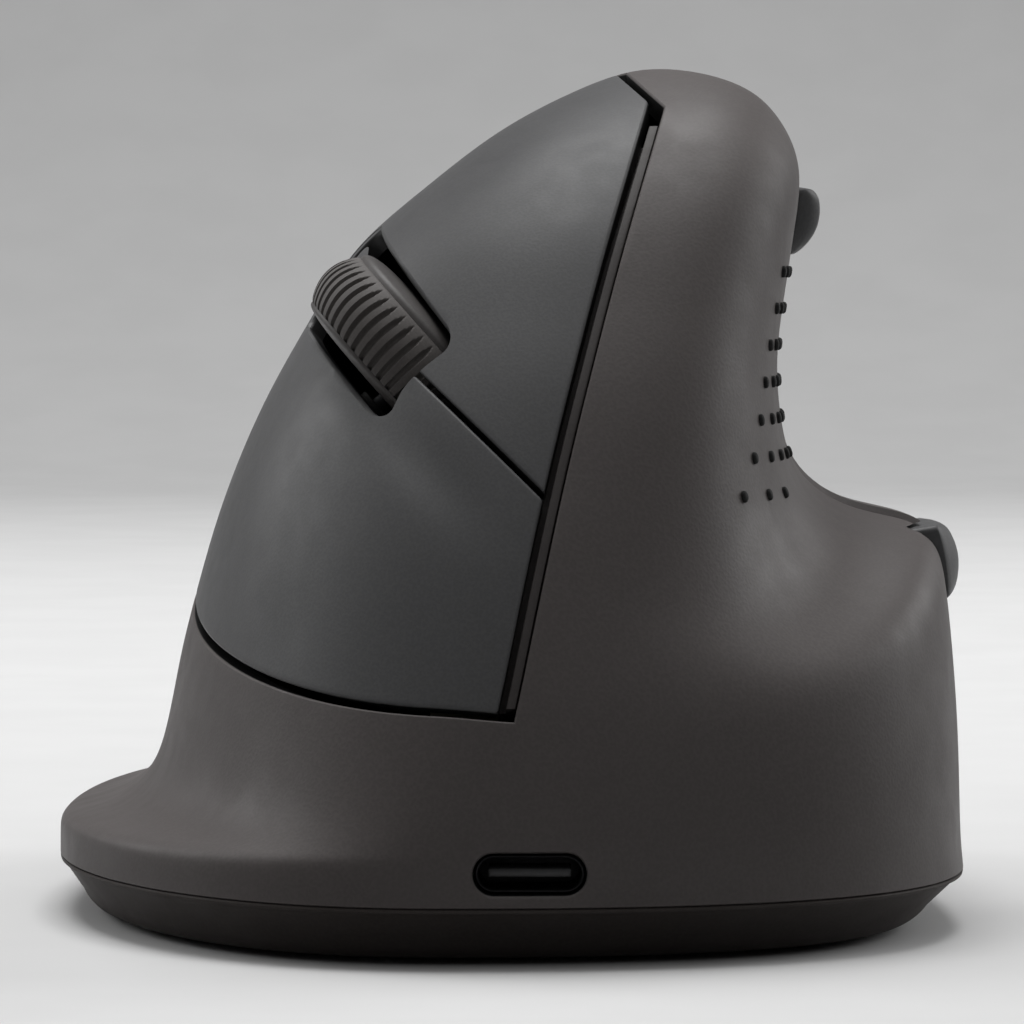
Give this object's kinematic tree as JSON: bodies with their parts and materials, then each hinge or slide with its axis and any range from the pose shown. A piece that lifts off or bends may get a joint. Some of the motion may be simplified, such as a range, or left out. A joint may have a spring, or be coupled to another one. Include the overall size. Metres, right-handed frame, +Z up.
{
  "type": "vertical mouse",
  "caption": "Right-handed vertical ergonomic mouse: tall leaning housing with thumb chute, split finger keys, ribbed scroll wheel, thumb buttons and a charging socket in the nose.",
  "frame": {"origin": "centre of the footprint on the desk, under the glide feet", "axes": "+Z up, -Y to the nose with the charging socket, +X to the thumb side"},
  "size_m": [0.079, 0.112, 0.074],
  "materials": {
    "body": "fine matte texture",
    "keys": "smooth matte",
    "base": "fine matte texture",
    "frame": "moulded",
    "wheel_tread": "matte",
    "wheel_core": "smooth",
    "metal": "satin",
    "socket": "blackened",
    "board": "solder mask",
    "switch": "moulded",
    "lens": "clear",
    "cell": "wrapped",
    "flex": "film",
    "glide": "slick"
  },
  "bodies": {
    "housing": {"main_shell": "body", "bottom_shell": "base", "key_hinge_pin": "metal", "front_strip": "frame", "inner_frame": "frame", "button_board": "board", "upper_switch": "switch", "lower_switch": "switch", "middle_switch": "switch", "thumb_board": "board", "thumb_switches": "switch", "thumb_screws": "metal", "mode_board": "board", "mode_switch": "switch", "mode_screws": "metal", "grip_pips": "frame", "main_board": "board", "controller_chip": "switch", "sensor": "switch", "sensor_lens": "lens", "battery": "cell", "ribbon_cable": "flex", "usb_shell": "socket", "usb_tongue": "switch", "power_switch": "metal", "glide_feet": "glide", "case_screws": "metal", "frame_screws": "metal", "board_screws": "metal"},
    "upper_key": {"upper_key": "keys"},
    "lower_key": {"lower_key": "keys"},
    "wheel_carriage": {"wheel_carriage": "frame", "wheel_encoder": "board"},
    "wheel": {"wheel_hub": "wheel_core", "wheel_tyre": "wheel_tread", "wheel_axle": "metal"},
    "forward_button": {"forward_button": "keys"},
    "back_button": {"back_button": "keys"},
    "mode_button": {"mode_button": "keys"},
    "power_slider": {"power_slider": "switch"}
  },
  "joints": [
    {"name": "upper_key_press", "type": "hinge", "parent": "housing", "child": "upper_key", "pos_m": [-0.00514, 0.017, 0.04521], "axis": [0.7431, 0, 0.6691], "range_deg": [0, 0.45], "stiffness_Nm_per_rad": 3, "springref_deg": -0.57},
    {"name": "lower_key_press", "type": "hinge", "parent": "housing", "child": "lower_key", "pos_m": [-0.00514, 0.017, 0.04521], "axis": [0.7431, 0, 0.6691], "range_deg": [0, 0.45], "stiffness_Nm_per_rad": 3, "springref_deg": -0.57},
    {"name": "wheel_press", "type": "slide", "parent": "housing", "child": "wheel_carriage", "axis": [0.6691, 0, -0.7431], "range_m": [0, 0.0006], "stiffness_N_per_m": 1500, "springref_m": -0.0005},
    {"name": "wheel_spin", "type": "hinge", "parent": "wheel_carriage", "child": "wheel", "pos_m": [-0.00708, -0.0262, 0.04737], "axis": [0.7431, 0, 0.6691], "continuous": true},
    {"name": "forward_press", "type": "slide", "parent": "housing", "child": "forward_button", "axis": [-0.9904, -0.0208, 0.1365], "range_m": [0, 0.0005], "stiffness_N_per_m": 900, "springref_m": -0.0003},
    {"name": "back_press", "type": "slide", "parent": "housing", "child": "back_button", "axis": [-0.9743, -0.1834, 0.1309], "range_m": [0, 0.0005], "stiffness_N_per_m": 900, "springref_m": -0.0003},
    {"name": "mode_press", "type": "slide", "parent": "housing", "child": "mode_button", "axis": [-0.9848, -0.0295, -0.1713], "range_m": [0, 0.0005], "stiffness_N_per_m": 900, "springref_m": -0.0003},
    {"name": "power_slide", "type": "slide", "parent": "housing", "child": "power_slider", "axis": [1, 0, 0], "range_m": [0, 0.0025]}
  ]
}
